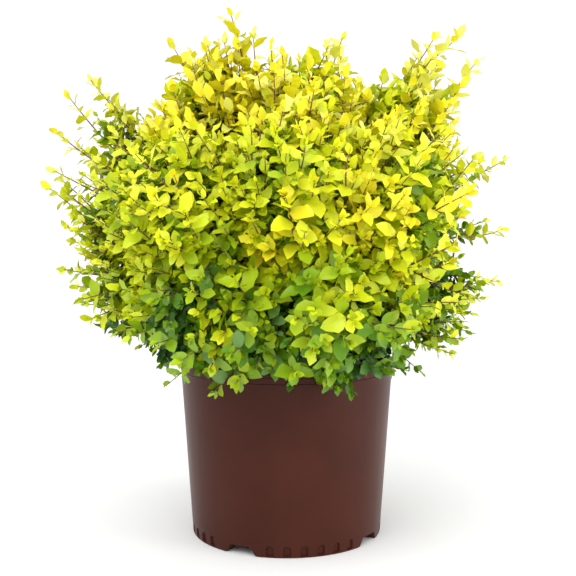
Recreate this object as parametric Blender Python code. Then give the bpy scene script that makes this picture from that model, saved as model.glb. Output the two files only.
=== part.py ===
"""A golden-leaved privet shrub in a round moulded nursery pot.

Metres, +Z up. The pot's axis is the Z axis and it stands on the XY plane.
The pot is a thin moulded wall with a rim band, a raised floor and a foot ring
that four notches cut into four feet. It is filled with potting mix. A short
stem stands on the mix and ends in a knuckle, from which one tapering bough
runs to each mass of foliage. The masses are uneven closed solids that meet
each other along narrow gaps and leave a hollow round the knuckle.
"""
import math

import bmesh
import bpy
from mathutils import Vector, noise
from mathutils.bvhtree import BVHTree

# ---------------------------------------------------------------- sizes (m)
POT_HEIGHT = 0.228
POT_TOP_R = 0.140          # outside, at the lip
POT_FOOT_R = 0.124         # outside, at the ground
POT_WALL = 0.0022
POT_SIDES = 72
BAND_HEIGHT = 0.0125       # the plain band under the lip
BAND_STEP = 0.0007         # how far it stands proud of the wall
FLOOR_UNDER = 0.0110       # underside of the raised floor
FLOOR_TOP = 0.0138
FOOT_RING = 0.0160         # radial thickness of the foot ring
FOOT_CHAMFER = 0.0009

NOTCHES = [math.radians(d) for d in (-27.3, 57.3, 152.7, 237.3)]   # bearings from the front (-Y) towards +X
NOTCH_WIDE = math.radians(21.4)     # arc at the ground
NOTCH_NARROW = math.radians(12.8)   # arc at the floor
FLUTES = ((6, math.radians(9.75)), (7, math.radians(9.0)))   # count and pitch on a narrow foot, a wide foot
FLUTE_WIDTH = 0.0094
FLUTE_HEIGHT = 0.0148
FLUTE_FLOOR = 0.0022       # the flutes start this far above the ground
FLUTE_DEPTH = 0.0016

MIX_LEVEL = 0.1960         # potting mix, at the wall
MIX_CROWN = 0.0035         # how much higher it is in the middle
MIX_PATCH_R = 0.024        # flat patch that the stem's cut face rests over
MIX_GAP = 0.0005

STEM_FLARE_R = 0.0195      # at the flat cut
STEM_R = 0.0130            # above the flare
STEM_LEAN = (0.0035, -0.0025)
KNUCKLE_R = 0.0190         # the swollen head that the boughs spring from
KNUCKLE_LOW = 0.2270       # its axis runs between these heights
KNUCKLE_HIGH = 0.2530
GAP = 0.0004               # between a limb and what it meets

BOUGH_R = 0.0041
BOUGH_END_R = 0.0026
BOUGH_SIDES = 8
BOUGH_STEPS = 5
BOUGH_SPRING = 0.55        # how long it keeps its first heading, as a share
BOUGH_SPREAD = 1.30        # how much wider it leaves than its mass lies

CORE = Vector((0.0, 0.0, 0.335))    # middle of the leafless hollow
CORE_R = 0.078
MASS_GAP = 0.0030          # between two masses
POT_CLEAR = 0.0030         # between a mass and the pot

# name: centre, half sizes, tips that its longest sprays reach
MASSES = {
    "foliage_spire_left": ((-0.095, -0.020, 0.525), (0.082, 0.090, 0.086),
                           [(-0.071, -0.020, 0.674), (-0.118, -0.010, 0.652), (-0.146, 0.000, 0.632)]),
    "foliage_top_middle": ((0.020, -0.050, 0.528), (0.098, 0.092, 0.076),
                           [(0.028, -0.040, 0.640), (0.070, -0.030, 0.638), (-0.042, -0.020, 0.642)]),
    "foliage_spire_right": ((0.142, -0.015, 0.515), (0.082, 0.092, 0.082),
                            [(0.184, 0.000, 0.626), (0.222, 0.000, 0.646), (0.245, 0.000, 0.612), (0.128, 0.000, 0.610)]),
    "foliage_top_back": ((0.020, 0.115, 0.515), (0.130, 0.112, 0.094),
                         [(-0.020, 0.130, 0.636), (0.100, 0.150, 0.604)]),
    "foliage_wing_left_high": ((-0.180, 0.015, 0.472), (0.078, 0.095, 0.074),
                               [(-0.254, 0.000, 0.590), (-0.282, 0.000, 0.568), (-0.300, 0.005, 0.523)]),
    "foliage_wing_left": ((-0.190, -0.030, 0.400), (0.090, 0.098, 0.074),
                          [(-0.303, -0.040, 0.449), (-0.287, -0.020, 0.408), (-0.288, -0.060, 0.470)]),
    "foliage_front_left": ((-0.112, -0.150, 0.425), (0.100, 0.105, 0.100),
                           [(-0.130, -0.238, 0.470)]),
    "foliage_front_middle": ((0.010, -0.168, 0.445), (0.096, 0.096, 0.100),
                             [(0.000, -0.266, 0.480)]),
    "foliage_front_right": ((0.122, -0.145, 0.425), (0.098, 0.105, 0.100),
                            [(0.150, -0.232, 0.465)]),
    "foliage_wing_right": ((0.165, 0.005, 0.425), (0.072, 0.105, 0.088),
                           [(0.297, 0.050, 0.490), (0.299, 0.050, 0.397), (0.232, -0.060, 0.516)]),
    "foliage_back_left": ((-0.130, 0.145, 0.435), (0.112, 0.112, 0.098),
                          [(-0.160, 0.252, 0.480), (-0.210, 0.160, 0.530)]),
    "foliage_back_right": ((0.125, 0.160, 0.425), (0.112, 0.104, 0.098),
                           [(0.120, 0.266, 0.460), (0.210, 0.180, 0.510)]),
    "foliage_low_left": ((-0.182, -0.030, 0.316), (0.084, 0.102, 0.070),
                         [(-0.286, -0.030, 0.346), (-0.272, -0.020, 0.303), (-0.246, 0.000, 0.264), (-0.200, -0.010, 0.234)]),
    "foliage_low_front_left": ((-0.095, -0.158, 0.304), (0.096, 0.092, 0.078),
                               [(-0.070, -0.172, 0.222), (-0.122, -0.164, 0.236)]),
    "foliage_low_front_right": ((0.052, -0.168, 0.302), (0.100, 0.088, 0.082),
                                [(0.026, -0.172, 0.203), (0.110, -0.168, 0.222)]),
    "foliage_low_right": ((0.168, -0.020, 0.312), (0.078, 0.102, 0.074),
                          [(0.286, 0.040, 0.326), (0.250, -0.010, 0.258), (0.186, -0.050, 0.206)]),
    "foliage_low_back_left": ((-0.112, 0.155, 0.306), (0.108, 0.100, 0.078),
                              [(-0.110, 0.195, 0.222), (-0.190, 0.190, 0.300)]),
    "foliage_low_back_right": ((0.104, 0.158, 0.306), (0.108, 0.098, 0.078),
                               [(0.090, 0.200, 0.224), (0.190, 0.190, 0.300)]),
}
MASS_DETAIL = 3            # subdivisions of the starting ball
MASS_BUMP = 0.12           # unevenness, as a share of the radius
MASS_BUMP_SCALE = 2.4
TIP_SPREAD = math.radians(13.5)
ROOT_SPREAD = math.radians(38.0)

POT_BROWN = (0.095, 0.035, 0.026)
MIX_BROWN = (0.030, 0.020, 0.014)
BARK_BROWN = (0.150, 0.095, 0.065)
LEAF_GOLD = (0.560, 0.560, 0.020)
LEAF_LIME = (0.330, 0.430, 0.015)
LEAF_GREEN = (0.150, 0.260, 0.010)


# ---------------------------------------------------------------- helpers
def principled(name, colour, roughness, metallic=0.0):
    mat = bpy.data.materials.new(name)
    mat.use_nodes = True
    shader = mat.node_tree.nodes["Principled BSDF"]
    shader.inputs["Base Color"].default_value = (*colour, 1.0)
    shader.inputs["Roughness"].default_value = roughness
    shader.inputs["Metallic"].default_value = metallic
    return mat


def new_object(name, bm, mat=None, smooth_angle=None):
    bmesh.ops.recalc_face_normals(bm, faces=bm.faces)
    mesh = bpy.data.meshes.new(name)
    bm.to_mesh(mesh)
    bm.free()
    if mat:
        mesh.materials.append(mat)
    if smooth_angle is not None:
        mesh.shade_smooth()
        mesh.set_sharp_from_angle(angle=smooth_angle)
    ob = bpy.data.objects.new(name, mesh)
    bpy.context.scene.collection.objects.link(ob)
    return ob


def hide_cutter(ob):
    ob.hide_render = True
    ob.display_type = "WIRE"
    return ob


def subtract(ob, cutter):
    mod = ob.modifiers.new("cut_" + cutter.name, "BOOLEAN")
    mod.operation = "DIFFERENCE"
    mod.solver = "EXACT"
    mod.object = cutter
    return mod


def bearing(angle):
    """Unit vector for a bearing from the front (-Y), growing towards +X."""
    return Vector((math.sin(angle), -math.cos(angle), 0.0))


def turned(name, profile, sides, mat=None, smooth_angle=None, closed=False, phase=0.0):
    """A solid of revolution: profile is (radius, z) from the bottom of the
    axis, round the outside; closed joins its last point to its first."""
    bm = bmesh.new()
    rings = []
    for radius, z in profile:
        if radius < 1e-6:
            rings.append([bm.verts.new((0.0, 0.0, z))])
        else:
            rings.append([bm.verts.new(bearing(phase + 2.0 * math.pi * i / sides) * radius + Vector((0, 0, z)))
                          for i in range(sides)])
    pairs = list(zip(rings, rings[1:]))
    if closed:
        pairs.append((rings[-1], rings[0]))
    for low, high in pairs:
        for i in range(sides):
            j = (i + 1) % sides
            if len(low) == 1 and len(high) == 1:
                continue
            if len(low) == 1:
                bm.faces.new((low[0], high[j], high[i]))
            elif len(high) == 1:
                bm.faces.new((low[i], low[j], high[0]))
            else:
                bm.faces.new((low[i], low[j], high[j], high[i]))
    return new_object(name, bm, mat, smooth_angle)


def wall_radius(z):
    """Outside radius of the pot's wall at height z."""
    return POT_FOOT_R + (POT_TOP_R - BAND_STEP - POT_FOOT_R) * z / POT_HEIGHT


# ---------------------------------------------------------------- pot
def make_pot(mat):
    band_z = POT_HEIGHT - BAND_HEIGHT
    step = BAND_STEP
    profile = [
        (POT_FOOT_R - FOOT_RING, 0.0),
        (POT_FOOT_R - FOOT_CHAMFER, 0.0),
        (wall_radius(FOOT_CHAMFER), FOOT_CHAMFER),
        (wall_radius(band_z - step), band_z - step),
        (wall_radius(band_z) + step, band_z),
        (POT_TOP_R, POT_HEIGHT - 0.0010),
        (POT_TOP_R - 0.0008, POT_HEIGHT),
        (POT_TOP_R - POT_WALL - 0.0008, POT_HEIGHT),
        (wall_radius(band_z) - POT_WALL, band_z),
        (wall_radius(FLOOR_TOP + 0.004) - POT_WALL, FLOOR_TOP + 0.004),
        (wall_radius(FLOOR_TOP) - POT_WALL - 0.004, FLOOR_TOP),
    ]
    # the shell of revolution: outside, over the lip, down the inside to the
    # floor's middle, then the floor's underside and back to the foot ring
    bm = bmesh.new()
    sides = POT_SIDES
    rings = [[bm.verts.new(bearing(2.0 * math.pi * i / sides) * r + Vector((0, 0, z))) for i in range(sides)]
             for r, z in profile]
    under = [bm.verts.new(bearing(2.0 * math.pi * i / sides) * (POT_FOOT_R - FOOT_RING) + Vector((0, 0, FLOOR_UNDER)))
             for i in range(sides)]
    chain = [under] + rings
    for low, high in zip(chain, chain[1:]):
        for i in range(sides):
            j = (i + 1) % sides
            bm.faces.new((low[i], low[j], high[j], high[i]))
    bm.faces.new(list(reversed(under)))
    bm.faces.new(rings[-1])
    pot = new_object("pot", bm, mat, math.radians(35))

    # notches that part the foot ring into four feet
    reach_in, reach_out = POT_FOOT_R - FOOT_RING - 0.006, POT_FOOT_R + 0.006
    bm = bmesh.new()
    for mid in NOTCHES:
        out, side = bearing(mid), bearing(mid + math.pi / 2)
        half_low, half_high = POT_FOOT_R * NOTCH_WIDE / 2, POT_FOOT_R * NOTCH_NARROW / 2
        slope = (half_high - half_low) / FLOOR_UNDER
        section = [(-half_low + slope * 0.004, -0.004), (half_low - slope * 0.004, -0.004),
                   (half_high, FLOOR_UNDER), (-half_high, FLOOR_UNDER)]
        near = [bm.verts.new(out * reach_in + side * s + Vector((0, 0, z))) for s, z in section]
        far = [bm.verts.new(out * reach_out + side * s + Vector((0, 0, z))) for s, z in section]
        bm.faces.new(near)
        bm.faces.new(list(reversed(far)))
        for i in range(4):
            j = (i + 1) % 4
            bm.faces.new((near[j], near[i], far[i], far[j]))
    subtract(pot, hide_cutter(new_object("notch_cutter", bm)))

    # shallow flutes with round tops, a row on each foot
    bm = bmesh.new()
    for k, notch in enumerate(NOTCHES):
        after = NOTCHES[(k + 1) % len(NOTCHES)] + (2.0 * math.pi if k + 1 == len(NOTCHES) else 0.0)
        foot = (notch + after) / 2
        count, pitch = FLUTES[k % 2]
        for n in range(count):
            angle = foot + (n - (count - 1) / 2) * pitch
            out, side = bearing(angle), bearing(angle + math.pi / 2)
            half = FLUTE_WIDTH / 2
            spring = FLUTE_HEIGHT - half
            section = [(-half, FLUTE_FLOOR), (half, FLUTE_FLOOR), (half, spring)]
            section += [(half * math.cos(a), spring + half * math.sin(a))
                        for a in (math.radians(d) for d in (45, 90, 135))]
            section += [(-half, spring)]
            depth = wall_radius(0.008) - FLUTE_DEPTH
            near = [bm.verts.new(out * depth + side * s + Vector((0, 0, z))) for s, z in section]
            far = [bm.verts.new(out * (depth + 0.012) + side * s + Vector((0, 0, z))) for s, z in section]
            count = len(section)
            bm.faces.new(near)
            bm.faces.new(list(reversed(far)))
            for i in range(count):
                j = (i + 1) % count
                bm.faces.new((near[j], near[i], far[i], far[j]))
    subtract(pot, hide_cutter(new_object("flute_cutter", bm)))
    return pot


def make_mix(mat):
    """The potting mix: a plug that clears the pot by MIX_GAP, low at the wall."""
    floor = FLOOR_TOP + MIX_GAP
    profile = [(0.0, floor),
               (wall_radius(FLOOR_TOP) - POT_WALL - 0.004 - MIX_GAP * 2, floor),
               (wall_radius(FLOOR_TOP + 0.004) - POT_WALL - MIX_GAP * 2, FLOOR_TOP + 0.004 + MIX_GAP * 2),
               (wall_radius(MIX_LEVEL) - POT_WALL - MIX_GAP * 2, MIX_LEVEL),
               (0.098, MIX_LEVEL + MIX_CROWN * 0.45),
               (0.060, MIX_LEVEL + MIX_CROWN * 0.85),
               (MIX_PATCH_R, MIX_LEVEL + MIX_CROWN),
               (0.0, MIX_LEVEL + MIX_CROWN)]
    ob = turned("potting_mix", profile, 36, mat, math.radians(40))
    for v in ob.data.vertices:      # the surface is uneven between wall and patch
        r = math.hypot(v.co.x, v.co.y)
        if v.co.z > MIX_LEVEL and MIX_PATCH_R + 0.01 < r < 0.11:
            v.co.z += 0.0022 * noise.noise(Vector((v.co.x * 28.0, v.co.y * 28.0, 0.7)))
    return ob


# ---------------------------------------------------------------- limbs
def make_stem(mat):
    """Short stem: flat cut on the mix, root flare, lean, and a knuckle."""
    base = MIX_LEVEL + MIX_CROWN + GAP
    neck = KNUCKLE_LOW - KNUCKLE_R * 0.80
    stations = [  # share of the way up to the neck, radius
        (0.00, STEM_FLARE_R), (0.20, STEM_FLARE_R * 0.88), (0.55, STEM_FLARE_R * 0.72), (1.00, STEM_R)]
    bm = bmesh.new()
    sides = 14
    rings = []

    def ring(z, radius, rib):
        t = min(1.0, (z - base) / (KNUCKLE_LOW - base))
        cx, cy = STEM_LEAN[0] * (1 - t), STEM_LEAN[1] * (1 - t)
        pts = []
        for i in range(sides):
            a = 2.0 * math.pi * i / sides
            r = radius * (1.0 + rib * math.cos(3 * a + 0.6) + rib * 0.5 * math.cos(5 * a))
            pts.append(bm.verts.new((cx + r * math.cos(a), cy + r * math.sin(a), z)))
        return pts

    for share, radius in stations:
        rings.append(ring(base + share * (neck - base), radius, 0.08 * (1 - share)))
    skin = KNUCKLE_R * 0.97
    for lat in (-28, -2):
        a = math.radians(lat)
        rings.append(ring(KNUCKLE_LOW + skin * math.sin(a), skin * math.cos(a), 0.015))
    for lat in (0, 24, 48, 70):
        a = math.radians(lat)
        rings.append(ring(KNUCKLE_HIGH + skin * math.sin(a), skin * math.cos(a), 0.015))
    top = bm.verts.new((0.0, 0.0, KNUCKLE_HIGH + skin))
    bm.faces.new(list(reversed(rings[0])))
    for low, high in zip(rings, rings[1:]):
        for i in range(sides):
            j = (i + 1) % sides
            bm.faces.new((low[i], low[j], high[j], high[i]))
    for i in range(sides):
        bm.faces.new((rings[-1][i], rings[-1][(i + 1) % sides], top))
    return new_object("main_stem", bm, mat, math.radians(50))


def limb_mesh(name, points, radii, sides, mat):
    """A tapering tube through points with flat ends."""
    bm = bmesh.new()
    up = Vector((0, 0, 1))
    rings = []
    for k, (p, r) in enumerate(zip(points, radii)):
        ahead = points[min(k + 1, len(points) - 1)] - points[max(k - 1, 0)]
        ahead.normalize()
        side = ahead.cross(up if abs(ahead.z) < 0.97 else Vector((1, 0, 0))).normalized()
        rise = side.cross(ahead)
        rings.append([bm.verts.new(p + (side * math.cos(a) + rise * math.sin(a)) * r)
                      for a in (2.0 * math.pi * i / sides for i in range(sides))])
    for low, high in zip(rings, rings[1:]):
        for i in range(sides):
            j = (i + 1) % sides
            bm.faces.new((low[i], low[j], high[j], high[i]))
    bm.faces.new(list(reversed(rings[0])))
    bm.faces.new(rings[-1])
    return new_object(name, bm, mat, math.radians(50))


def limb_points(start, turn, end, count):
    """Points of a limb that leaves start towards turn and bends to end."""
    return [start * (1 - t) ** 2 + turn * (2 * t * (1 - t)) + end * t ** 2
            for t in (k / (count - 1) for k in range(count))]


def cap_ring(centre, heading, radius, count=12):
    side = heading.orthogonal().normalized()
    rise = side.cross(heading)
    return [centre] + [centre + (side * math.cos(a) + rise * math.sin(a)) * radius
                       for a in (2.0 * math.pi * i / count for i in range(count))]


def off_knuckle(point):
    """How far a point is from the knuckle's skin."""
    z = max(KNUCKLE_LOW, min(KNUCKLE_HIGH, point.z))
    return (point - Vector((0, 0, z))).length - KNUCKLE_R


def clear_of(points, radii, trees):
    """Whether a limb's skin keeps GAP from every mass, all along."""
    for k in range(len(points) - 1):
        along = (points[k + 1] - points[k]).normalized()
        for t in (0.0, 0.5, 1.0):
            here = points[k].lerp(points[k + 1], t)
            thick = radii[k] + (radii[k + 1] - radii[k]) * t
            for p in cap_ring(here, along, thick):
                if any(tree.find_nearest(p)[3] < GAP for tree in trees):
                    return False
    return True


def make_bough(name, mass, trees, mat):
    """One limb from the knuckle to just short of where it enters its mass:
    it leaves level with its mass, then bends to meet it squarely."""
    tree = trees[mass.name]
    centre = Vector(MASSES[mass.name][0])
    heights = [spec[0][2] for spec in MASSES.values()]
    share = (centre.z - min(heights)) / (max(heights) - min(heights))
    origin = Vector((0, 0, KNUCKLE_LOW + share * (KNUCKLE_HIGH - KNUCKLE_LOW)))
    away = centre - origin
    heading = Vector((away.x * BOUGH_SPREAD, away.y * BOUGH_SPREAD, away.z)).normalized()
    begin = KNUCKLE_R
    while min(off_knuckle(p) for p in cap_ring(origin + heading * begin, heading, BOUGH_R)) < GAP:
        begin += 0.0003
    start = origin + heading * begin
    outward = (centre - CORE).normalized()
    entry = CORE + outward * tree.ray_cast(CORE, outward)[3]
    radii = [BOUGH_R + (BOUGH_END_R - BOUGH_R) * (k / BOUGH_STEPS) for k in range(BOUGH_STEPS + 1)]
    spring = (entry - start).length * BOUGH_SPRING
    while True:
        turn = start + heading * spring
        last = (entry - turn).normalized()
        end = entry.copy()
        while min(tree.find_nearest(p)[3] for p in cap_ring(end, last, BOUGH_END_R)) < GAP + 0.0003:
            end -= last * 0.0002     # step back until the end clears the mass
        points = limb_points(start, turn, end, BOUGH_STEPS + 1)
        if clear_of(points, radii, trees.values()) or spring < 0.004:
            return limb_mesh(name, points, radii, BOUGH_SIDES, mat)
        spring *= 0.85


# ---------------------------------------------------------------- foliage
def ellipsoid_reach(direction, size):
    return 1.0 / math.sqrt(sum((d / s) ** 2 for d, s in zip(direction, size)))


def walls_of(name):
    """Planes (normal, offset) that a mass stays behind: one towards each
    neighbour, through the core and midway between the two, and one in front
    of the core."""
    facing = (Vector(MASSES[name][0]) - CORE).normalized()
    walls = []
    for other, (place, _, _) in MASSES.items():
        if other != name:
            normal = ((Vector(place) - CORE).normalized() - facing).normalized()
            walls.append((normal, normal.dot(CORE) - MASS_GAP / 2))
    walls.append((-facing, -facing.dot(CORE) - CORE_R))
    return walls


def make_mass(name, index, mat):
    """An uneven ball round its centre: bumps, sprays out to its tips, and
    flat where it meets its neighbours."""
    centre, size, tips = MASSES[name]
    centre = Vector(centre)
    walls = walls_of(name)
    bm = bmesh.new()
    bmesh.ops.create_icosphere(bm, subdivisions=MASS_DETAIL, radius=1.0)
    bm.verts.ensure_lookup_table()
    aims = [((Vector(tip) - centre).normalized(), (Vector(tip) - centre).length, TIP_SPREAD) for tip in tips]
    # its root reaches in to the hollow, where the bough enters
    aims.append(((CORE - centre).normalized(), (CORE - centre).length - CORE_R, ROOT_SPREAD))
    for aim, _, _ in aims:     # a corner of the ball points straight at each
        nearest = max(bm.verts, key=lambda v: v.co.dot(aim))
        nearest.co = aim.copy()
    for v in bm.verts:
        d = v.co.normalized()
        bump = noise.fractal(d * MASS_BUMP_SCALE + Vector((index * 3.7, index * 1.9, 5.0)), 0.9, 2.1, 2)
        reach = ellipsoid_reach(d, size) * (1.0 + MASS_BUMP * 2.2 * bump)
        for aim, length, spread in aims:
            angle = math.acos(max(-1.0, min(1.0, d.dot(aim))))
            if length > reach:
                reach += (length - reach) * math.exp(-(angle / spread) ** 2)
        for normal, offset in walls:
            facing = normal.dot(d)
            if facing > 1e-6:
                reach = min(reach, (offset - normal.dot(centre)) / facing)
        v.co = centre + d * max(reach, 0.004)
    return new_object(name, bm, mat, math.radians(70))


def make_pot_clearance():
    """The pot's outside grown by POT_CLEAR, which the low masses keep off."""
    r_low, r_high = POT_FOOT_R + POT_CLEAR, POT_TOP_R + POT_CLEAR
    slope = (r_high - r_low) / POT_HEIGHT
    top = POT_HEIGHT + POT_CLEAR
    profile = [(0.0, 0.05), (r_low + slope * 0.05, 0.05), (r_high, top), (0.0, top)]
    return hide_cutter(turned("pot_clearance", profile, 40))


# ---------------------------------------------------------------- build
def main():
    for ob in list(bpy.data.objects):
        bpy.data.objects.remove(ob, do_unlink=True)

    pot_mat = principled("brown_plastic", POT_BROWN, 0.42)
    mix_mat = principled("potting_mix", MIX_BROWN, 0.95)
    bark_mat = principled("bark", BARK_BROWN, 0.85)
    leaf_mats = {"high": principled("leaf_gold", LEAF_GOLD, 0.5),
                 "mid": principled("leaf_lime", LEAF_LIME, 0.5),
                 "low": principled("leaf_green", LEAF_GREEN, 0.5)}

    make_pot(pot_mat)
    make_mix(mix_mat)
    make_stem(bark_mat)

    clearance = make_pot_clearance()
    masses = []
    for index, name in enumerate(MASSES):
        z = MASSES[name][0][2]
        mat = leaf_mats["high" if z > 0.5 else "mid" if z > 0.36 else "low"]
        mass = make_mass(name, index, mat)
        if min(v.co.z for v in mass.data.vertices) < POT_HEIGHT + POT_CLEAR:
            subtract(mass, clearance)
        masses.append(mass)
    bpy.context.view_layer.update()
    graph = bpy.context.evaluated_depsgraph_get()
    trees = {mass.name: BVHTree.FromObject(mass, graph) for mass in masses}
    for mass in masses:
        make_bough(mass.name.replace("foliage", "bough"), mass, trees, bark_mat)


main()
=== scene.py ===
import math

import bpy
import numpy as np
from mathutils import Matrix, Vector
from mathutils.bvhtree import BVHTree


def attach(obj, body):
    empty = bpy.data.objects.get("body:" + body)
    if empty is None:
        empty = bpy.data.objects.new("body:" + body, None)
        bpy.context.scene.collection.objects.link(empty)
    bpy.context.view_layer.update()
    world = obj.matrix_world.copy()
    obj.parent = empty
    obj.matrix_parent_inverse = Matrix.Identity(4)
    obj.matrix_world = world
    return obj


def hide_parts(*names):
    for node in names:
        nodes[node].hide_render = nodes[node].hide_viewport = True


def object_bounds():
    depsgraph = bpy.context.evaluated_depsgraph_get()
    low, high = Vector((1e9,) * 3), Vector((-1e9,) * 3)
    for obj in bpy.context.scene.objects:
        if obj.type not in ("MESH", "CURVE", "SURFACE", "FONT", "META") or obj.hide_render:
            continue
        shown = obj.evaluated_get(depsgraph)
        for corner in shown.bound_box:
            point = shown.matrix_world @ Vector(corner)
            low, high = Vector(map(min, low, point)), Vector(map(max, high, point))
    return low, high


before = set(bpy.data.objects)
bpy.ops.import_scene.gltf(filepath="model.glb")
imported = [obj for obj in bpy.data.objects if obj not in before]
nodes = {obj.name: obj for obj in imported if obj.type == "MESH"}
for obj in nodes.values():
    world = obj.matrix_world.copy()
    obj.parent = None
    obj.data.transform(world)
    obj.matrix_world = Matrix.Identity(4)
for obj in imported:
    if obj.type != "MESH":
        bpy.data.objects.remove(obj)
cad_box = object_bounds()
rng = np.random.default_rng(20811)
scene = bpy.context.scene
scene.view_settings.view_transform = "Standard"
scene.view_settings.look = "None"

# ------------------------------------------------------------------ sizes (metres)
POT_H, POT_TOP, POT_FOOT, POT_WALL = 0.228, 0.140, 0.124, 0.0022
BAND_H, BAND_STEP = 0.0125, 0.0007
FLOOR_UNDER, FLOOR_TOP, FOOT_RING = 0.0110, 0.0138, 0.0160
NOTCHES = (-27.3, 57.3, 152.7, 237.3)      # bearings from the front, towards +X
NOTCH_WIDE, NOTCH_NARROW = 21.4, 12.8      # degrees at the ground and at the floor
FLUTE_W, FLUTE_H, FLUTE_LOW, FLUTE_D = 0.0094, 0.0148, 0.0022, 0.0026
MIX_LEVEL, MIX_CROWN = 0.1960, 0.0035
CORE = np.array((0.0, 0.0, 0.335))


def lin(r, g, b):
    """A colour as seen on a screen (0 to 255) as the shader wants it."""
    return tuple(
        (c / 12.92 if c <= 0.04045 else ((c + 0.055) / 1.055) ** 2.4)
        for c in (r / 255, g / 255, b / 255)
    )


def unit(v):
    return v / np.maximum(np.linalg.norm(v, axis=-1, keepdims=True), 1e-12)


# ------------------------------------------------------------------ materials
def material(name, base, rough=0.5, spec=0.5):
    m = bpy.data.materials.new(name)
    m.use_nodes = True
    p = m.node_tree.nodes["Principled BSDF"]
    p.inputs["Base Color"].default_value = (*base, 1)
    p.inputs["Roughness"].default_value = rough
    p.inputs["Specular IOR Level"].default_value = spec
    m.diffuse_color = (*base, 1)
    return m, m.node_tree, p


def noise(t, scale, detail, where, rough=0.5):
    n = t.nodes.new("ShaderNodeTexNoise")
    n.inputs["Scale"].default_value = scale
    n.inputs["Detail"].default_value = detail
    n.inputs["Roughness"].default_value = rough
    t.links.new(where, n.inputs["Vector"])
    return n


def ramp(t, fac, stops):
    r = t.nodes.new("ShaderNodeValToRGB")
    while len(r.color_ramp.elements) < len(stops):
        r.color_ramp.elements.new(0.5)
    for e, (pos, col) in zip(r.color_ramp.elements, stops):
        e.position = pos
        e.color = (*col, 1)
    t.links.new(fac, r.inputs["Fac"])
    return r


def stretch(t, source, scale):
    m = t.nodes.new("ShaderNodeMapping")
    m.inputs["Scale"].default_value = scale
    t.links.new(source, m.inputs["Vector"])
    return m.outputs["Vector"]


def bump(t, p, height, strength, distance):
    b = t.nodes.new("ShaderNodeBump")
    b.inputs["Strength"].default_value = strength
    b.inputs["Distance"].default_value = distance
    t.links.new(height, b.inputs["Height"])
    t.links.new(b.outputs["Normal"], p.inputs["Normal"])
    return b


def plastic():
    m, t, p = material("pot_plastic_satin", (0.052, 0.0125, 0.0070), 0.36, 0.12)
    co = t.nodes.new("ShaderNodeTexCoord").outputs["Object"]
    cloud = noise(t, 14, 3, co)
    col = ramp(t, cloud.outputs["Fac"], ((0.30, (0.047, 0.0112, 0.0062)), (0.70, (0.058, 0.0142, 0.0080))))
    t.links.new(col.outputs["Color"], p.inputs["Base Color"])
    drag = noise(t, 60, 2, stretch(t, co, (1, 1, 0.16)))
    dull = t.nodes.new("ShaderNodeMapRange")
    dull.inputs["To Min"].default_value = 0.30
    dull.inputs["To Max"].default_value = 0.42
    t.links.new(drag.outputs["Fac"], dull.inputs["Value"])
    t.links.new(dull.outputs["Result"], p.inputs["Roughness"])
    grain = noise(t, 900, 2, co)
    bump(t, p, grain.outputs["Fac"], 0.10, 0.0004)
    return m


def soil(name="potting_mix_loose"):
    m, t, p = material(name, (0.030, 0.018, 0.011), 0.92, 0.2)
    co = t.nodes.new("ShaderNodeTexCoord").outputs["Object"]
    lump = noise(t, 160, 6, co, 0.7)
    col = ramp(t, lump.outputs["Fac"], ((0.30, (0.012, 0.007, 0.004)), (0.55, (0.040, 0.024, 0.014)), (0.78, (0.110, 0.070, 0.040))))
    t.links.new(col.outputs["Color"], p.inputs["Base Color"])
    bump(t, p, lump.outputs["Fac"], 0.9, 0.004)
    return m


def bark(name, dark, light, scale):
    m, t, p = material(name, light, 0.72, 0.25)
    co = t.nodes.new("ShaderNodeTexCoord").outputs["Object"]
    flake = noise(t, scale, 5, stretch(t, co, (1, 1, 0.35)), 0.65)
    col = ramp(t, flake.outputs["Fac"], ((0.32, dark), (0.70, light)))
    t.links.new(col.outputs["Color"], p.inputs["Base Color"])
    bump(t, p, flake.outputs["Fac"], 0.7, 0.0012)
    return m


POT = plastic()
SOIL = soil()
BARK = bark("bark_grey_brown", (0.050, 0.030, 0.020), (0.210, 0.140, 0.095), 210)
TWIG = [material("twig_brown", lin(92, 66, 46), 0.6, 0.3)[0],
        material("twig_purple_brown", lin(118, 84, 66), 0.55, 0.3)[0]]
TONES = [
    ("leaf_shade_green", (34, 74, 10)),
    ("leaf_deep_green", (60, 108, 12)),
    ("leaf_green", (92, 136, 14)),
    ("leaf_fresh_green", (126, 160, 16)),
    ("leaf_lime", (160, 184, 18)),
    ("leaf_yellow_lime", (192, 206, 20)),
    ("leaf_yellow", (212, 220, 26)),
    ("leaf_gold", (224, 226, 34)),
    ("leaf_amber", (232, 222, 36)),
    ("leaf_pale_and_painted_sheen", (232, 232, 104)),
    ("leaf_grey_green", (104, 142, 70)),
]
LEAF = [material(n, lin(*c), 0.42, 0.35)[0] for n, c in TONES]
PALE_AND_SHEEN, GREY = 9, 10


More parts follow.
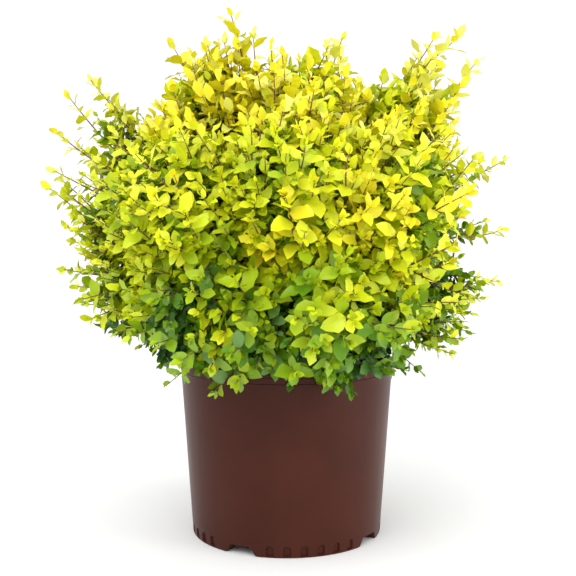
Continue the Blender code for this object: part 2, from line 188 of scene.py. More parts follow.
# ------------------------------------------------------------------ mesh helpers
def mesh(name, verts, quads, tris, mats, q_mat=None, t_mat=None, smooth=True):
    verts = np.asarray(verts, dtype=np.float32)
    quads = np.asarray(quads, dtype=np.int32).reshape(-1, 4)
    tris = np.asarray(tris, dtype=np.int32).reshape(-1, 3)
    me = bpy.data.meshes.new(name)
    me.vertices.add(len(verts))
    me.vertices.foreach_set("co", verts.ravel())
    loops = np.concatenate([quads.ravel(), tris.ravel()])
    me.loops.add(len(loops))
    me.loops.foreach_set("vertex_index", loops)
    nq, nt = len(quads), len(tris)
    me.polygons.add(nq + nt)
    me.polygons.foreach_set("loop_start", np.concatenate([np.arange(nq) * 4, nq * 4 + np.arange(nt) * 3]).astype(np.int32))
    index = np.zeros(nq + nt, dtype=np.int32)
    if q_mat is not None:
        index[:nq] = q_mat
    if t_mat is not None:
        index[nq:] = t_mat
    me.polygons.foreach_set("material_index", index)
    me.polygons.foreach_set("use_smooth", np.full(nq + nt, smooth))
    for m in mats:
        me.materials.append(m)
    me.update(calc_edges=True)
    me.validate()
    o = bpy.data.objects.new(name, me)
    scene.collection.objects.link(o)
    return o


def grid_faces(rows, cols, wrap=True):
    r = np.arange(rows - 1)[:, None]
    c = np.arange(cols if wrap else cols - 1)[None, :]
    n = (c + 1) % cols
    return np.stack([r * cols + c, r * cols + n, (r + 1) * cols + n, (r + 1) * cols + c], -1).reshape(-1, 4)


# ------------------------------------------------------------------ pot
def wall(z):
    return POT_FOOT + (POT_TOP - BAND_STEP - POT_FOOT) * z / POT_H


def make_pot():
    prof = []                                 # (r, z, outer wall?) from the middle of the underside round to the middle of the floor
    inner_foot = wall(0) - FOOT_RING
    prof += [(0.0001, FLOOR_UNDER, 0), (inner_foot - 0.004, FLOOR_UNDER, 0), (inner_foot, FLOOR_UNDER - 0.001, 0), (inner_foot, 0.0012, 0),
             (inner_foot + 0.0008, 0.0, 0), (wall(0) - 0.0014, 0.0, 0), (wall(0) - 0.0006, 0.0003, 0), (wall(0) - 0.0001, 0.0010, 0)]
    for z in (0.0019, 0.0022, 0.0026, 0.0034, 0.0050, 0.0070, 0.0085, 0.0098, 0.0108, 0.0117, 0.0125, 0.0133, 0.0140, 0.0147, 0.0153, 0.0160, 0.0175):
        prof.append((wall(z), z, 1))
    for z in np.linspace(0.022, POT_H - BAND_H - 0.0012, 22):
        prof.append((wall(z), z, 1))
    z = POT_H - BAND_H
    prof += [(wall(z) + 0.0001, z - 0.0004, 1), (wall(z) - 0.0004, z, 1), (wall(z) - 0.0004, z + 0.0003, 1), (wall(z) + BAND_STEP, z + 0.0008, 1),
             (wall(z) + BAND_STEP + 0.0001, z + 0.0016, 1)]
    for z in (POT_H - 0.0085, POT_H - 0.0050, POT_H - 0.0046, POT_H - 0.0042, POT_H - 0.0034, POT_H - 0.0016):
        dip = 0.00035 if abs(z - (POT_H - 0.0046)) < 1e-5 else 0.0
        prof.append((wall(z) + BAND_STEP - dip, z, 1))
    top = POT_TOP
    prof += [(top - 0.0001, POT_H - 0.0008, 0), (top - 0.0006, POT_H - 0.0002, 0), (top - 0.0012, POT_H, 0), (top - 0.0019, POT_H - 0.0003, 0),
             (top - 0.0024, POT_H - 0.0011, 0)]
    for z in (POT_H - 0.004, POT_H - 0.010, POT_H - 0.020, 0.150, 0.080, FLOOR_TOP + 0.004, FLOOR_TOP + 0.001):
        prof.append((wall(z) - POT_WALL, z, 0))
    prof += [(wall(0) - POT_WALL - 0.003, FLOOR_TOP, 0), (0.0001, FLOOR_TOP, 0)]
    r = np.array([p[0] for p in prof])
    z = np.array([p[1] for p in prof])
    out = np.array([p[2] for p in prof])
    bearings = []
    marks = sorted(b % 360 for b in NOTCHES)
    for i, b0 in enumerate(marks):
        b1 = marks[(i + 1) % 4] + (360 if i == 3 else 0)
        mid = (b0 + b1) / 2
        count, pitch = (6, 9.75) if b1 - b0 < 89 else (7, 9.0)
        bearings += [mid + (k - (count - 1) / 2) * pitch for k in range(count)]
    half = FLUTE_W / 2
    fine = np.radians(np.add.outer(np.array(bearings), np.degrees(np.arange(-0.0062, 0.00621, 0.00062) / wall(0.008))).ravel()) % (2 * math.pi)
    coarse = np.arange(240) * 2 * math.pi / 240
    clear = np.abs((coarse[:, None] - fine[None, :] + math.pi) % (2 * math.pi) - math.pi).min(1) > 0.006
    a = np.sort(np.concatenate([fine, coarse[clear]]))
    seg = len(a)
    R = np.repeat(r[:, None], seg, 1)
    Z = np.repeat(z[:, None], seg, 1)
    for b in bearings:
        d = (np.degrees(a) - b + 180) % 360 - 180
        x = np.radians(d) * wall(0.008)
        top_z = FLUTE_H - half
        far = np.where(Z > top_z, np.hypot(x[None, :], Z - top_z), np.abs(x)[None, :] + 0 * Z)
        inside = np.clip((half - far) / 0.0009, 0, 1)
        inside = inside * inside * (3 - 2 * inside)
        low = np.clip((Z - FLUTE_LOW + 0.0002) / 0.0004, 0, 1)
        R -= FLUTE_D * inside * low * out[:, None] * (np.abs(d) < 8)[None, :]
    X, Y = R * np.sin(a)[None, :], -R * np.cos(a)[None, :]
    V = np.stack([X, Y, Z], -1).reshape(-1, 3)
    k = np.arange(seg)
    low, high = len(V), len(V) + 1
    V = np.concatenate([V, [[0, 0, FLOOR_UNDER], [0, 0, FLOOR_TOP]]])
    end = (len(prof) - 1) * seg
    fans = np.concatenate([np.stack([np.full(seg, low), (k + 1) % seg, k], -1), np.stack([np.full(seg, high), end + k, end + (k + 1) % seg], -1)])
    o = mesh("pot_shell", V, grid_faces(len(prof), seg), fans, [POT])
    # the notches between the feet
    cut = bpy.data.meshes.new("notch_cutters")
    cv, cf = [], []
    for b in NOTCHES:
        c0 = len(cv)
        for rr in (inner_foot - 0.012, POT_TOP + 0.03):
            for zz, width in ((-0.004, NOTCH_WIDE + 3.1), (FLOOR_UNDER + 0.0004, NOTCH_NARROW)):
                for s in (-1, 1):
                    t = math.radians(b + s * width / 2)
                    cv.append((rr * math.sin(t), -rr * math.cos(t), zz))
        cf += [tuple(c0 + k for k in f) for f in ((0, 2, 3, 1), (4, 5, 7, 6), (0, 1, 5, 4), (2, 6, 7, 3), (0, 4, 6, 2), (1, 3, 7, 5))]
    cut.from_pydata(cv, [], cf)
    cut.update()
    cutter = bpy.data.objects.new("notch_cutters", cut)
    scene.collection.objects.link(cutter)
    mod = o.modifiers.new("notches", "BOOLEAN")
    mod.operation, mod.solver, mod.object = "DIFFERENCE", "EXACT", cutter
    dg = bpy.context.evaluated_depsgraph_get()
    got = bpy.data.meshes.new_from_object(o.evaluated_get(dg))
    o.modifiers.clear()
    o.data = got
    bpy.data.objects.remove(cutter)
    got.polygons.foreach_set("use_smooth", np.full(len(got.polygons), True))
    got.set_sharp_from_angle(angle=math.radians(38))
    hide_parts("pot")
    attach(o, "root")
    return o


def make_mix():
    rings, seg = 46, 150
    R0 = wall(MIX_LEVEL) - POT_WALL - 0.0007
    a = np.arange(seg) * 2 * math.pi / seg
    rr = np.linspace(0.0004, R0, rings)
    X = rr[:, None] * np.sin(a)
    Y = -rr[:, None] * np.cos(a)
    Z = MIX_LEVEL + MIX_CROWN * (1 - (rr / R0) ** 2)[:, None] + 0 * X
    for k in range(26):
        w = rng.normal(size=2) * (60 + 22 * k)
        Z = Z + 0.0011 / (1 + 0.25 * k) * np.sin(w[0] * X + w[1] * Y + rng.random() * 6.28)
    Z[-1] = Z[-1] - 0.0015
    down = []
    for z in (0.186, 0.10, 0.03, FLOOR_TOP + 0.0008):
        r = wall(z) - POT_WALL - 0.0008
        down.append(np.stack([r * np.sin(a), -r * np.cos(a), np.full(seg, z)], -1))
    V = np.concatenate([np.stack([X, Y, Z], -1).reshape(-1, 3)] + down)
    V = np.concatenate([V, [[0, 0, FLOOR_TOP + 0.0008]]])
    q = grid_faces(rings + 4, seg)[:, ::-1]
    last = (rings + 3) * seg
    k = np.arange(seg)
    t = np.stack([last + k, last + (k + 1) % seg, np.full(seg, len(V) - 1)], -1)[:, ::-1]
    o = mesh("potting_mix_top", V, q, t, [SOIL])
    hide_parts("potting_mix")
    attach(o, "root")
    # loose crumbs and bark chips
    n = 1500
    base = np.array([[1, 0, 0], [-1, 0, 0], [0, 1, 0], [0, -1, 0], [0, 0, 1], [0, 0, -1]], float)
    tri = np.array([[0, 2, 4], [2, 1, 4], [1, 3, 4], [3, 0, 4], [2, 0, 5], [1, 2, 5], [3, 1, 5], [0, 3, 5]])
    ang, rad = rng.random(n) * 2 * math.pi, (R0 - 0.004) * np.sqrt(rng.random(n))
    size = rng.uniform(0.0011, 0.0030, n)
    flat = rng.uniform(0.35, 0.9, n)
    P = np.stack([rad * np.sin(ang), -rad * np.cos(ang), MIX_LEVEL + MIX_CROWN * (1 - (rad / R0) ** 2) + size * 0.3], -1)
    keep = np.hypot(P[:, 0], P[:, 1]) > 0.021
    V, T = [], []
    for p, s, f in zip(P[keep], size[keep], flat[keep]):
        b = base * rng.uniform(0.6, 1.3, (6, 1)) * s * np.array([rng.uniform(1, 1.9), 1, f])
        c, d = math.cos(p[0] * 9e3), math.sin(p[0] * 9e3)
        b = np.stack([b[:, 0] * c - b[:, 1] * d, b[:, 0] * d + b[:, 1] * c, b[:, 2]], -1)
        T.append(tri + 6 * len(V))
        V.append(b + p)
    o = mesh("potting_mix_crumbs", np.concatenate(V), [], np.concatenate(T), [SOIL], smooth=False)
    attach(o, "root")


# ------------------------------------------------------------------ limbs
def tube(points, radii, sides, V, Q, T, mat, qm, tm, lift=None):
    """Adds one closed tube along points to the lists."""
    P = np.asarray(points, float)
    d = unit(np.gradient(P, axis=0))
    ref = np.array((0.0, 0.0, 1.0)) if abs(d[0][2]) < 0.9 else np.array((1.0, 0.0, 0.0))
    u = unit(np.cross(d[0], ref))
    rings = []
    ang = np.arange(sides) * 2 * math.pi / sides
    for i in range(len(P)):
        u = u - d[i] * u.dot(d[i])
        u = u / max(np.linalg.norm(u), 1e-9)
        v = np.cross(d[i], u)
        r = radii[i] * (1 if lift is None else lift[i])
        rings.append(P[i] + np.outer(np.cos(ang) * r, u) + np.outer(np.sin(ang) * r, v))
    start = sum(len(x) for x in V)
    V.append(np.concatenate(rings))
    q = grid_faces(len(P), sides) + start
    Q.append(q)
    qm.append(np.full(len(q), mat))
    V.append(np.array([P[0], P[-1]]))
    c0, c1 = start + len(P) * sides, start + len(P) * sides + 1
    k = np.arange(sides)
    low = start + (len(P) - 1) * sides
    t = np.concatenate([np.stack([np.full(sides, c0), start + (k + 1) % sides, start + k], -1),
                        np.stack([np.full(sides, c1), low + k, low + (k + 1) % sides], -1)])
    T.append(t)
    tm.append(np.full(len(t), mat))


def centreline(o):
    """The middle of each ring of a bough's solid, from the stem outwards."""
    n = len(o.data.vertices)
    co = np.empty(n * 3)
    o.data.vertices.foreach_get("co", co)
    co = np.unique(co.reshape(-1, 3).round(6), axis=0)
    hub = np.array((0.0, 0.0, 0.245))
    order = np.argsort(np.linalg.norm(co - hub, axis=1))
    co = co[order]
    groups = [co[i:i + 8] for i in range(0, len(co) - 7, 8)]
    return np.array([g.mean(0) for g in groups])


def smooth_line(P, n):
    P = np.asarray(P, float)
    s = np.concatenate([[0], np.cumsum(np.linalg.norm(np.diff(P, axis=0), axis=1))])
    t = np.linspace(0, s[-1], n)
    out = np.stack([np.interp(t, s, P[:, k]) for k in range(3)], -1)
    for _ in range(3):
        out[1:-1] = 0.25 * out[:-2] + 0.5 * out[1:-1] + 0.25 * out[2:]
    return out


boughs = {}
for name in nodes:
    if name.startswith("bough_"):
        boughs[name[6:]] = centreline(nodes[name])


def make_limbs():
    V, Q, T, qm, tm = [], [], [], [], []
    stem = nodes["main_stem"]
    z = np.linspace(0.188, 0.262, 22)
    lean = np.array((0.0035, -0.0025))
    f = np.clip((z - 0.192) / 0.045, 0, 1)
    P = np.stack([lean[0] * f, lean[1] * f, z], -1)
    P[z > 0.232, :2] *= 0.6
    rad = 0.0130 + 0.0062 * np.exp(-((z - 0.192) / 0.009) ** 2) + 0.0050 * np.exp(-((z - 0.241) / 0.014) ** 2)
    rad[-3:] *= (0.94, 0.80, 0.52)
    tube(P, rad, 26, V, Q, T, 0, qm, tm)
    for key in sorted(boughs):
        line = boughs[key]
        hub = np.array((0.0, 0.0, min(max(line[0][2], 0.232), 0.252)))
        path = smooth_line(np.concatenate([[hub + (line[0] - hub) * 0.35], line]), 26)
        r = np.linspace(0.0047, 0.0027, 26)
        r[:5] *= np.array((1.45, 1.35, 1.22, 1.12, 1.05))
        tube(path, r, 12, V, Q, T, 0, qm, tm)
    V = np.concatenate(V)
    # bark relief: shallow ridges along the limb and small lumps
    dirs = unit(V - np.array((0, 0, 0.24)))
    w = np.sin(V[:, 0] * 900 + 5 * np.sin(V[:, 2] * 90)) * np.sin(V[:, 1] * 870 + 4 * np.sin(V[:, 2] * 120))
    V = V + np.stack([V[:, 0] * 0, V[:, 1] * 0, V[:, 2] * 0], -1) + unit(np.stack([w, w[::-1], 0 * w], -1)) * (0.00028 * np.abs(w))[:, None]
    o = mesh("limbs_bark", V, np.concatenate(Q), np.concatenate(T), [BARK])
    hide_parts("main_stem", *["bough_" + k for k in boughs])
    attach(o, "root")


# ------------------------------------------------------------------ branching
class Twigs:
    """Every point a twig can start from, and what carries it."""

    def __init__(self, at, way):
        self.p = [np.array(at)]
        self.d = [np.array(way)]
        self.up = [-1]
        self.load = [0.0]
        self.lines = []

    def near(self, q, toward):
        P = np.array(self.p)
        D = np.array(self.d)
        v = q - P
        dist = np.linalg.norm(v, axis=1) + 1e-9
        ahead = (v * D).sum(1) / dist
        back = (v * toward).sum(1) / dist
        cost = dist * (1.35 - 0.45 * ahead) * (1.45 - 0.60 * back) + (dist < 0.010) * 0.05
        return int(np.argmin(cost))

    def grow(self, base, tip, way, bare):
        """A twig from the nearest point that suits base, in one curve to tip; its last part, bare metres long, carries no others."""
        i = self.near(base, way)
        a, da = self.p[i], self.d[i]
        n = np.linalg.norm(tip - a)
        c1 = a + unit(0.55 * da + 0.65 * unit(tip - a)) * n * 0.34
        c2 = tip - way * n * 0.40
        k = max(5, int(n / 0.012) + 1)
        t = np.linspace(0, 1, k + 1)[:, None]
        path = (1 - t) ** 3 * a + 3 * (1 - t) ** 2 * t * c1 + 3 * (1 - t) * t ** 2 * c2 + t ** 3 * tip
        left = np.linalg.norm(path - tip, axis=1)
        prev, ids = i, [i]
        for j in range(1, k + 1):
            if left[j] < bare:
                break
            self.p.append(path[j])
            self.d.append(unit(path[j] - path[j - 1]))
            self.up.append(prev)
            self.load.append(0.0)
            prev = len(self.p) - 1
            ids.append(prev)
        j = prev
        while j >= 0:
            self.load[j] += 1
            j = self.up[j]
        self.lines.append((path, ids))
        return path


def spread(points, gap, cap):
    """Keeps points that lie at least gap apart, at most cap of them."""
    cell = {}
    kept = []
    for i, p in enumerate(points):
        key = tuple((p // gap).astype(int))
        close = False
        for dx in (-1, 0, 1):
            for dy in (-1, 0, 1):
                for dz in (-1, 0, 1):
                    for j in cell.get((key[0] + dx, key[1] + dy, key[2] + dz), ()):
                        if np.sum((points[j] - p) ** 2) < gap * gap:
                            close = True
                            break
        if close:
            continue
        cell.setdefault(key, []).append(i)
        kept.append(i)
        if len(kept) >= cap:
            break
    return kept


# how open each mass is, and how golden its outer leaves are: (gap between shoots, tone, leaf size)
LOOK = {
    "spire_left": (0.0180, 7.6, 1.12), "top_middle": (0.0189, 6.7, 1.00), "spire_right": (0.0205, 7.4, 1.10), "top_back": (0.0207, 5.8, 0.95),
    "wing_left_high": (0.0225, 6.2, 0.92), "wing_left": (0.0216, 5.7, 0.90), "front_left": (0.0198, 5.8, 1.00), "front_middle": (0.0198, 5.9, 1.05),
    "front_right": (0.0198, 6.6, 1.08), "wing_right": (0.0234, 5.8, 0.88), "back_left": (0.0216, 5.2, 0.95), "back_right": (0.0216, 5.4, 0.95),
    "low_left": (0.0216, 4.8, 0.92), "low_front_left": (0.0190, 4.0, 1.08), "low_front_right": (0.0190, 3.9, 1.08), "low_right": (0.0225, 4.4, 0.88),
    "low_back_left": (0.0216, 4.4, 0.95), "low_back_right": (0.0216, 4.4, 0.95),
}

solids = {}
for name in nodes:
    if name.startswith("foliage_"):
        me = nodes[name].data
        me.calc_loop_triangles()
        co = np.empty(len(me.vertices) * 3)
        me.vertices.foreach_get("co", co)
        co = co.reshape(-1, 3)
        tri = np.empty(len(me.loop_triangles) * 3, dtype=np.int64)
        me.loop_triangles.foreach_get("vertices", tri)
        solids[name[8:]] = (co, tri.reshape(-1, 3))

trees = {k: BVHTree.FromPolygons([Vector(v) for v in c], t.tolist()) for k, (c, t) in solids.items()}

# golden and greener sprays in the front half, as the eye meets them: (x, z, radius, tone)
SPRAYS = [
    (-0.118, 0.433, 0.047, 1.6), (-0.087, 0.561, 0.042, 0.6), (-0.039, 0.378, 0.030, 2.2), (0.065, 0.454, 0.038, 1.0), (0.104, 0.427, 0.047, 0.9),
    (0.064, 0.318, 0.033, 1.9), (0.016, 0.553, 0.047, 1.4), (-0.184, 0.332, 0.038, 1.6), (-0.083, 0.288, 0.028, 1.5), (0.004, 0.443, 0.031, 1.4),
    (0.049, 0.265, 0.018, 1.0), (-0.090, 0.375, 0.033, -1.6), (-0.040, 0.310, 0.038, -1.2), (-0.144, 0.305, 0.031, -1.8), (0.073, 0.263, 0.036, -1.6),
    (-0.195, 0.531, 0.026, -1.6), (0.164, 0.497, 0.026, -1.5), (-0.068, 0.408, 0.020, -1.2), (0.006, 0.290, 0.025, -0.8), (0.174, 0.359, 0.022, -0.8),
    (-0.032, 0.480, 0.042, -1.3), (0.030, 0.480, 0.032, -0.9), (-0.094, 0.414, 0.034, -1.3), (-0.215, 0.412, 0.030, -1.2), (-0.032, 0.350, 0.028, 1.7),
    (0.142, 0.470, 0.034, 1.3), (0.190, 0.405, 0.032, 1.2), (0.190, 0.290, 0.030, 1.2), (-0.160, 0.270, 0.034, -1.0), (0.125, 0.270, 0.030, -0.9),
    (-0.005, 0.405, 0.024, 0.8), (0.085, 0.350, 0.024, 0.8), (-0.020, 0.262, 0.022, -0.9), (0.020, 0.330, 0.020, -0.9),
]
behind = np.random.default_rng(77)
BACK = [(behind.uniform(-0.24, 0.24), behind.uniform(0.26, 0.60), behind.uniform(0.03, 0.05), behind.choice((-1.4, 1.7))) for _ in range(26)]


def spray_shift(p):
    rows = SPRAYS if p[1] < 0.02 else BACK
    by_height = 1.1 * np.clip((p[2] - 0.49) / 0.05, 0, 1) - 1.2 * np.clip((0.285 - p[2]) / 0.05, 0, 1)
    return by_height + sum(k * math.exp(-((p[0] - x) ** 2 + (p[2] - z) ** 2) / (r * r)) for x, z, r, k in rows)


clump_w = behind.normal(size=(5, 3)) * 42
clump_p = behind.random(5) * 6.28


def clump(p):
    """Slowly varying, about -1 to 1: where the sprays stand close and where they part."""
    return float(np.sin(clump_w @ p + clump_p).sum()) / 2.4


def thin(p):
    """The chance that a shoot at p is missing: more sky at the right edge and the upper left."""
    out = 0.0
    if p[0] > 0.150 and 0.33 < p[2] < 0.52:
        out = 0.58
    if p[0] < -0.135 and p[2] > 0.46:
        out = 0.12
    if p[0] < -0.115 and p[2] < 0.285:
        out = 0.80
    if p[2] < 0.245 and abs(p[0]) > 0.07:
        out = max(out, 0.45)
    if p[0] > 0.170 and 0.37 < p[2] < 0.46:
        out = 0.86
    if p[2] > 0.575 and abs(p[0] + 0.075) > 0.045:
        out = max(out, 0.35)
    if clump(p) < -0.45:
        out += 0.45
    return out


box_lo = np.array(cad_box[0]) - 0.012
box_hi = np.array(cad_box[1]) + 0.012
shoots = []      # (path, length that bears leaves, tone, size, mass, outer)
twig_lines = []  # (points, radii)
for key in sorted(solids):
    co, tri = solids[key]
    gap, tone, size = LOOK[key]
    a, b, c = co[tri[:, 0]], co[tri[:, 1]], co[tri[:, 2]]
    nrm = np.cross(b - a, c - a)
    area = np.linalg.norm(nrm, axis=1) / 2
    nrm = unit(nrm)
    mid = (a + b + c) / 3
    outward = (nrm * unit(mid - CORE)).sum(1)
    rim = np.linalg.norm((mid - CORE) / np.array((0.29, 0.26, 0.31)), axis=1)
    weight = area * ((outward > 0.22) | ((outward > -0.25) & (rim > 0.72)))
    line = boughs[key]
    end, way = line[-1], unit(line[-1] - line[-2])
    tw = Twigs(end, way)
    # the middle of the mass, and the vertices that stand out furthest from their neighbours
    heart = co.mean(0)
    reach = np.linalg.norm(co - heart, axis=1)
    near_sum, near_n = np.zeros(len(co)), np.zeros(len(co))
    for s0, s1 in ((0, 1), (1, 2), (2, 0), (1, 0), (2, 1), (0, 2)):
        np.add.at(near_sum, tri[:, s0], reach[tri[:, s1]])
        np.add.at(near_n, tri[:, s0], 1)
    peak = reach - near_sum / np.maximum(near_n, 1)
    peak[np.linalg.norm(co - CORE, axis=1) < 0.12] = 0
    tips = [i for i in np.argsort(-peak)[:7] if peak[i] > 0.006]
    pick = rng.choice(len(tri), 1600, p=weight / weight.sum())
    u, v = rng.random(1600), rng.random(1600)
    flip = u + v > 1
    u[flip], v[flip] = 1 - u[flip], 1 - v[flip]
    P = a[pick] + (b - a)[pick] * u[:, None] + (c - a)[pick] * v[:, None]
    # the furthest points of the mass come first, so each of its tips gets a shoot
    far = np.concatenate([tips, np.argsort(-np.linalg.norm(co - CORE, axis=1))[:3]]).astype(int)
    P = np.concatenate([co[far], P])
    outer = P[spread(P, gap, 400)]
    inner_n = int(len(outer) * 0.75)
    Q = P[rng.permutation(len(P))[:inner_n]]
    Q = heart + (Q - heart) * rng.uniform(0.35, 0.80, (len(Q), 1))
    jobs = [(p, 1) for p in outer] + [(q, 0) for q in Q]
    jobs.sort(key=lambda j: np.linalg.norm(j[0] - end) - (0.02 if j[1] else 0))
    for n_job, (p, is_outer) in enumerate(jobs):
        out = unit(p - CORE)
        furthest = is_outer and np.linalg.norm(co[far] - p, axis=1).min() < 1e-6
        if is_outer and not furthest and rng.random() < thin(p):
            continue
        here = spray_shift(p)
        from_end = unit(p - end)
        up = 0.28 if p[2] > 0.36 else 0.05
        d = unit(0.62 * out + 0.55 * from_end + np.array((0, 0, up)) + rng.normal(size=3) * 0.15)
        reach_in = np.linalg.norm(p - end)
        length = min(rng.uniform(0.055, 0.110) if is_outer else rng.uniform(0.045, 0.085), reach_in * 0.8)
        if furthest:
            p = p - out * (0.001 if p[2] > 0.25 else 0.001 if abs(p[0] - 0.01) < 0.05 else 0.018)
        elif is_outer:
            # some shoots stand proud where they point at the eye or away from it, the rest end a little way in
            proud = np.clip(abs(out[1]) * 1.5 - 0.25, 0, 1) * (rng.random() < 0.30)
            p = p + out * (rng.uniform(0.004, 0.026) * proud if proud > 0 else -rng.uniform(0.004, 0.022))
        p = np.clip(p, box_lo + 0.016, box_hi - 0.016)
        path = tw.grow(p - d * length, p, d, min(0.040, length * 0.6))
        grow = size * (1 + 0.07 * np.clip(here, -1.5, 1.6)) * rng.uniform(0.86, 1.12)
        # inner shoots take tones 2.6 lower: greener leaves, and darker as painted shade inside the crown
        shoots.append((path, length, tone + here + 0.5 if is_outer else tone - 2.6 + 0.5 * here, grow, key, is_outer))
    for path, ids in tw.lines:
        rad = np.array([min(0.00060 + 0.00034 * tw.load[i] ** 0.55, 0.0027) for i in ids])
        rad[0] = min(rad[0], rad[min(1, len(rad) - 1)] * 1.1)
        rest = len(path) - len(rad)
        if rest > 0:
            rad = np.concatenate([rad, np.linspace(rad[-1], 0.00050, rest + 1)[1:]])
        twig_lines.append((path, rad))

# ------------------------------------------------------------------ leaves
u = np.array([0.0, 0.12, 0.29, 0.48, 0.67, 0.85, 1.0])
half_w = np.array([0.0, 0.52, 0.87, 1.0, 0.90, 0.54, 0.0])


def leaf_shape(kind):
    g = np.random.default_rng(400 + kind)
    fold = g.uniform(0.15, 0.42)
    curl = g.uniform(0.03, 0.26)
    twist = g.uniform(-0.25, 0.25)
    mid = np.stack([u, 0 * u, -curl * u ** 2], -1)
    sides = []
    for s in (-1, 1):
        w = half_w[1:6] * (1 + 0.18 * g.uniform(-1, 1, 5))
        x = u[1:6] + 0.02 * g.uniform(-1, 1, 5)
        ripple = 0.050 * np.sin(x * g.uniform(9, 15) + g.uniform(0, 6.28))
        z = -curl * x ** 2 + fold * 0.27 * w + twist * 0.27 * s * x * w + ripple * w
        sides.append(np.stack([x, s * w, z], -1))
    return np.concatenate([mid, sides[0], sides[1]])     # 7 + 5 + 5


KINDS = 16
shapes = np.array([leaf_shape(k) for k in range(KINDS)])
LQ = np.array([[k, k + 1, k + 7, k + 6] for k in range(1, 5)] + [[k + 1, k, k + 11, k + 12] for k in range(1, 5)])
LT = np.array([[0, 1, 7], [5, 6, 11], [1, 0, 12], [6, 5, 16]])
PTS = 17

leaf_pos, leaf_x, leaf_n, leaf_len, leaf_wid, leaf_tone = [], [], [], [], [], []
for path, length, tone, size, key, is_outer in shoots:
    seg = np.linalg.norm(np.diff(path, axis=0), axis=1)
    arc = np.concatenate([[0], np.cumsum(seg)])
    total = arc[-1]
    length = min(length, total - 0.006)
    tip_at = path[-1]
    d_tip = unit(path[-1] - path[-2])
    side0 = unit(np.cross(d_tip, np.array((0, 0, 1.0)) + rng.normal(size=3) * 0.2))
    step = rng.uniform(0.0105, 0.0150) * size ** 0.5
    back = 0.003
    pair = int(rng.integers(2))
    out = unit(tip_at - CORE)
    spray_tone = tone + rng.normal() * 0.55
    while back < length:
        at_arc = total - back
        at = np.array([np.interp(at_arc, arc, path[:, k]) for k in range(3)])
        m = min(int(np.searchsorted(arc, at_arc)), len(path) - 1)
        d = unit(path[max(m, 1)] - path[max(m, 1) - 1])
        grown = min(1.0, 0.42 + back / 0.040)
        roll = (pair % 2) * 1.57 + rng.normal() * 0.25
        s0 = unit(side0 - d * side0.dot(d))
        axis = s0 * math.cos(roll) + np.cross(d, s0) * math.sin(roll)
        splay = min(1.10, 0.50 + back / 0.055)
        for s in (-1, 1):
            if rng.random() < 0.07:
                continue
            sp = splay + rng.normal() * 0.18
            x = unit(d * math.cos(sp) + axis * s * math.sin(sp) + np.array((0, 0, -0.06)))
            want = unit(0.75 * out + np.array((0, 0, 0.62)) + rng.normal(size=3) * 0.45 + 0.35 * d)
            leaf_pos.append(at)
            leaf_x.append(x)
            leaf_n.append(want)
            L = rng.uniform(0.0165, 0.0272) * size * grown
            leaf_len.append(L)
            leaf_wid.append(L * rng.uniform(0.24, 0.325))
            leaf_tone.append(spray_tone - 1.7 * back / max(length, 0.03) + rng.normal() * 0.5)
        back += step * (0.55 + 0.45 * grown)
        pair += 1
    # the leaf at the very tip
    leaf_pos.append(tip_at - d_tip * 0.002)
    leaf_x.append(unit(d_tip + rng.normal(size=3) * 0.15))
    leaf_n.append(unit(out + np.array((0, 0, 0.4)) + rng.normal(size=3) * 0.5))
    L = rng.uniform(0.011, 0.018) * size
    leaf_len.append(L)
    leaf_wid.append(L * 0.26)
    leaf_tone.append(spray_tone + 0.3)

leaf_pos, leaf_x, leaf_n = map(np.array, (leaf_pos, leaf_x, leaf_n))
leaf_len, leaf_wid, leaf_tone = map(np.array, (leaf_len, leaf_wid, leaf_tone))
# leaves deep in the crown are greener, and their darker tones are painted shade of the crown around them
depth = np.linalg.norm((leaf_pos - CORE) / np.array((0.29, 0.26, 0.31)), axis=1)
leaf_tone = leaf_tone - 2.2 * np.clip(0.80 - depth, 0, 1) / 0.5
ok = ((leaf_pos + leaf_x * leaf_len[:, None] > box_lo) & (leaf_pos + leaf_x * leaf_len[:, None] < box_hi)).all(1)
# nothing grows through the pot's wall
tip = leaf_pos + leaf_x * leaf_len[:, None]
for q in (leaf_pos, tip, (leaf_pos + tip) / 2):
    rr = np.hypot(q[:, 0], q[:, 1])
    ok &= ~((q[:, 2] < POT_H + 0.002) & (rr < POT_TOP + 0.002) & (rr > wall(0.2) - 0.010))
    ok &= q[:, 2] > 0.196
leaf_pos, leaf_x, leaf_n = leaf_pos[ok], leaf_x[ok], leaf_n[ok]
leaf_len, leaf_wid, leaf_tone = leaf_len[ok], leaf_wid[ok], leaf_tone[ok]
N = len(leaf_pos)
tone_i = np.clip(np.round(leaf_tone), 0, 8).astype(int)
# paler, whiter leaves at the top and round the crown's edge: partly paler leaves, partly a painted sheen of light
# glancing off them
pale = (leaf_pos[:, 0] > 0.05) & (leaf_pos[:, 2] > 0.585) & (rng.random(N) < 0.6)
tone_i[pale & (tone_i >= 5)] = PALE_AND_SHEEN
edge = np.hypot(leaf_pos[:, 0] / 0.26, (leaf_pos[:, 2] - 0.40) / 0.25)
tone_i[(edge > 0.86) & (leaf_pos[:, 2] > 0.30) & (tone_i >= 5) & (rng.random(N) < 0.32)] = PALE_AND_SHEEN
tone_i[(leaf_pos[:, 2] > 0.50) & (tone_i >= 4) & (tone_i <= 8) & (rng.random(N) < 0.14)] = PALE_AND_SHEEN
tone_i[(rng.random(N) < 0.05) & (tone_i <= 3)] = GREY

ez = unit(leaf_n - leaf_x * (leaf_n * leaf_x).sum(1)[:, None])
ey = np.cross(ez, leaf_x)
kind = rng.integers(KINDS, size=N)
S = shapes[kind]
LV = (leaf_pos[:, None, :]
      + leaf_x[:, None, :] * (S[:, :, 0] * leaf_len[:, None])[:, :, None]
      + ey[:, None, :] * (S[:, :, 1] * leaf_wid[:, None])[:, :, None]
      + ez[:, None, :] * (S[:, :, 2] * leaf_len[:, None])[:, :, None])

make_pot()
make_mix()
make_limbs()

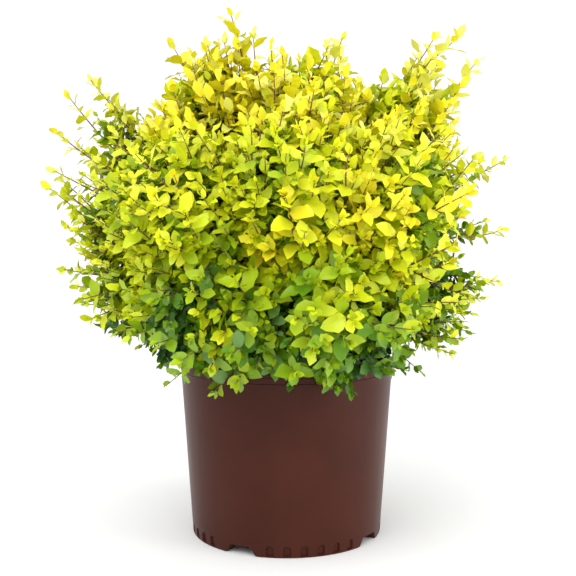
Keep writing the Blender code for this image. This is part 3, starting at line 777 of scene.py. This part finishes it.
PER = 9500
order = np.argsort(leaf_pos[:, 0] + 0.3 * leaf_pos[:, 1])
chunks = np.array_split(order, math.ceil(N / PER))
for i, idx in enumerate(chunks):
    n = len(idx)
    off = (np.arange(n) * PTS)[:, None, None]
    q = (LQ[None] + off).reshape(-1, 4)
    t = (LT[None] + off).reshape(-1, 3)
    o = mesh(f"leaves_{i + 1}", LV[idx].reshape(-1, 3), q, t, LEAF, np.repeat(tone_i[idx], len(LQ)), np.repeat(tone_i[idx], len(LT)))
    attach(o, "root")
    if i == 0:
        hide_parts(*["foliage_" + k for k in solids])

twig_faces = 0
for part, (sides, which) in enumerate(((5, [t for t in twig_lines if t[1].max() > 0.0013]), (4, [t for t in twig_lines if t[1].max() <= 0.0013]))):
    V, Q, T, qm, tm = [], [], [], [], []
    for pts, rad in which:
        tube(pts, rad, sides, V, Q, T, part, qm, tm)
    o = mesh(f"twigs_{part + 1}", np.concatenate(V), np.concatenate(Q), np.concatenate(T), TWIG, np.concatenate(qm), np.concatenate(tm))
    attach(o, "root")
    twig_faces += 2 * sum(len(q) for q in Q) + sum(len(t) for t in T)
print("leaves", N, "shoots", len(shoots), "twigs", len(twig_lines), "twig triangles", twig_faces)

# ------------------------------------------------------------------ floor, light, camera
floor_mat, ft, fp = material("floor_pale", (0.90, 0.90, 0.90), 0.9, 0.1)
rows = [(-4.0, 0.0), (2.2, 0.0)] + [(2.2 + 0.8 * math.sin(a), 0.8 - 0.8 * math.cos(a)) for a in np.linspace(0.1, 1.5, 10)] + [(3.05, 5.0)]
fv = [(x, y, z) for y, z in rows for x in (-6.0, 6.0)]
ff = [(2 * i, 2 * i + 1, 2 * i + 3, 2 * i + 2) for i in range(len(rows) - 1)]
floor = mesh("floor", fv, ff, [], [floor_mat])

world = bpy.data.worlds.new("studio")
scene.world = world
world.use_nodes = True
world.node_tree.nodes["Background"].inputs["Color"].default_value = (1.0, 1.0, 1.0, 1)
world.node_tree.nodes["Background"].inputs["Strength"].default_value = 1.18


def area(name, at, to, size, power, colour=(1, 1, 1)):
    d = bpy.data.lights.new(name, "AREA")
    d.shape = "RECTANGLE"
    d.size, d.size_y = size
    d.energy = power
    d.color = colour
    o = bpy.data.objects.new(name, d)
    o.location = at
    o.rotation_euler = (Vector(to) - Vector(at)).to_track_quat("-Z", "Y").to_euler()
    scene.collection.objects.link(o)


area("key", (-0.9, -1.7, 2.1), (0, 0, 0.42), (2.4, 1.6), 34)
area("fill", (1.6, -0.75, 0.40), (0, 0, 0.20), (0.8, 1.2), 16)

cam = bpy.data.cameras.new("camera")
cam.sensor_width = 36.0
cam.lens = 62.04
cam.clip_start = 0.05
cam_o = bpy.data.objects.new("camera", cam)
cam_o.location = (0.0019, -1.30, 0.417)
cam_o.rotation_euler = (math.radians(90 - 4.27), 0, 0)
scene.collection.objects.link(cam_o)
scene.camera = cam_o
